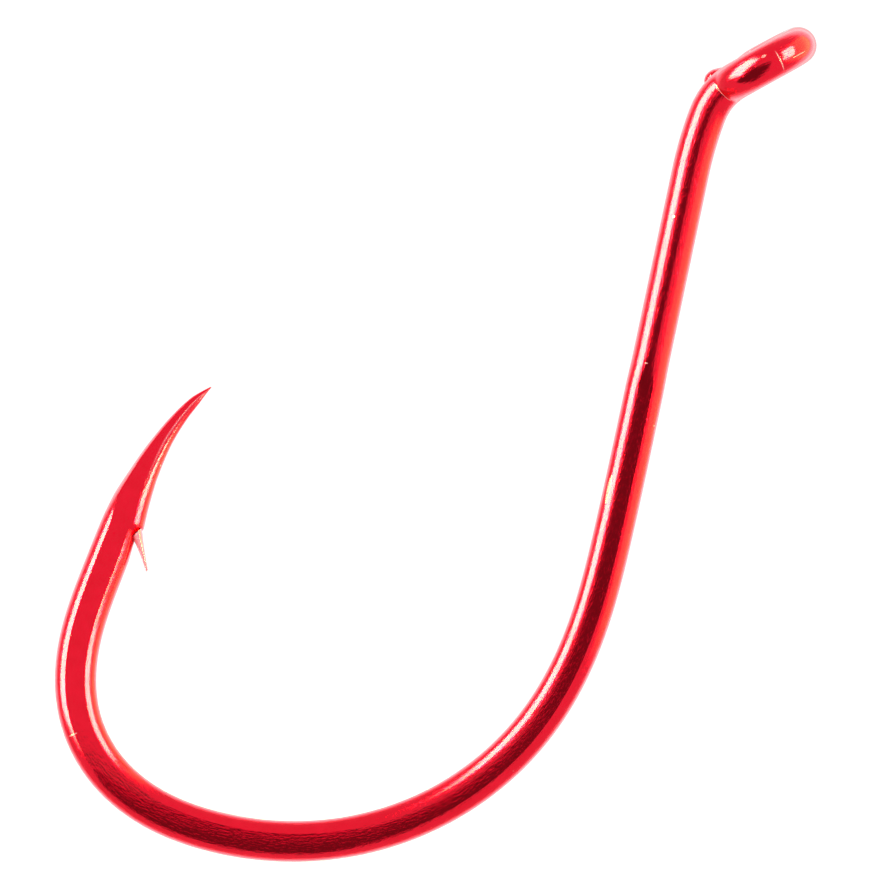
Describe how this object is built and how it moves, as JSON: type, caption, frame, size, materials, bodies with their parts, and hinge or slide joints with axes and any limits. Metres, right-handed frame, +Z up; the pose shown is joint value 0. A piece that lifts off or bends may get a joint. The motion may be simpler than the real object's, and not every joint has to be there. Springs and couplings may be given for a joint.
{
  "type": "fish hook",
  "caption": "Barbed wide-gape fish hook bent from one steel wire: up-turned ring eye, forged bend, offset beak point, red lacquer.",
  "frame": {"origin": "middle of the eye's hole, where the line holds the hook", "axes": "+Z up along the straight shank from the bend towards the eye; the hook lies in a plane square to Y, 0.5 mm to the -Y side of the origin; -X is the side of the point and +X the back of the shank; +Y is the side to which the point is offset"},
  "size_m": [0.0239, 0.0046, 0.0357],
  "materials": {
    "red_lacquered_steel": "clear red lacquer over bright plated steel wire, high gloss"
  },
  "bodies": {
    "root": {"eye": "red_lacquered_steel", "neck": "red_lacquered_steel", "shank": "red_lacquered_steel", "forged_shank": "red_lacquered_steel", "rear_bend": "red_lacquered_steel", "lower_bend": "red_lacquered_steel", "front_bend": "red_lacquered_steel", "spear": "red_lacquered_steel", "barb": "red_lacquered_steel", "point": "red_lacquered_steel"}
  },
  "joints": []
}
